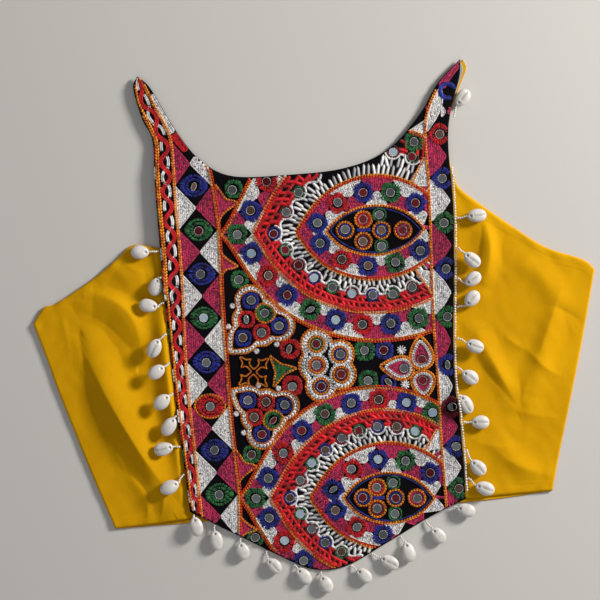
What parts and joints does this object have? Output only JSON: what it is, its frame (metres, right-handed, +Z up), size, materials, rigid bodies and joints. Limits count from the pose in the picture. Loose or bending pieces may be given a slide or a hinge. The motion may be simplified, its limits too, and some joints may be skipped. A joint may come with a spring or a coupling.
{
  "type": "choli blouse",
  "caption": "Sleeveless choli blouse laid flat: black mirror-work front panel over yellow cotton sides and back, with cowrie tassels round the panel.",
  "frame": {"origin": "centre of the blouse's outline, on the flat surface that it lies on", "axes": "+X to the right as seen from above with the neck at the top, +Y towards the neck, +Z up, out of the front of the blouse"},
  "size_m": [0.45, 0.4291, 0.0128],
  "materials": {
    "yellow_cotton": "matt plain-weave cotton, golden yellow, softly creased",
    "embroidered_ground": "black plain-weave ground under dense silk-floss embroidery",
    "pale_lining": "matt greyish white cotton",
    "white_beads": "opaque white glass seed beads, glossy",
    "cowrie_shell": "natural cowrie shell, smooth and softly glossy",
    "embroidery_thread": "lustrous floss in pink, red, white, blue, green and orange",
    "mirror_glass": "small round silvered glass discs, some tinted"
  },
  "bodies": {
    "root": {"back_panel": "yellow_cotton", "front_side_left": "yellow_cotton", "front_side_right": "yellow_cotton", "front_panel": "embroidered_ground", "strap_lining_right": "pale_lining", "bead_edging": "white_beads", "tassel_left_01": "cowrie_shell", "tassel_left_02": "cowrie_shell", "tassel_left_03": "cowrie_shell", "tassel_left_04": "cowrie_shell", "tassel_left_05": "cowrie_shell", "tassel_left_06": "cowrie_shell", "tassel_left_07": "cowrie_shell", "tassel_left_08": "cowrie_shell", "tassel_left_09": "cowrie_shell", "tassel_lower_01": "cowrie_shell", "tassel_lower_02": "cowrie_shell", "tassel_lower_03": "cowrie_shell", "tassel_lower_04": "cowrie_shell", "tassel_lower_05": "cowrie_shell", "tassel_lower_06": "cowrie_shell", "tassel_lower_07": "cowrie_shell", "tassel_lower_08": "cowrie_shell", "tassel_lower_09": "cowrie_shell", "tassel_lower_10": "cowrie_shell", "tassel_lower_11": "cowrie_shell", "tassel_right_01": "cowrie_shell", "tassel_right_02": "cowrie_shell", "tassel_right_03": "cowrie_shell", "tassel_right_04": "cowrie_shell", "tassel_right_05": "cowrie_shell", "tassel_right_06": "cowrie_shell", "tassel_right_07": "cowrie_shell", "tassel_right_08": "cowrie_shell", "tassel_right_09": "cowrie_shell", "tassel_right_10": "cowrie_shell", "tassel_right_11": "cowrie_shell"}
  },
  "joints": []
}
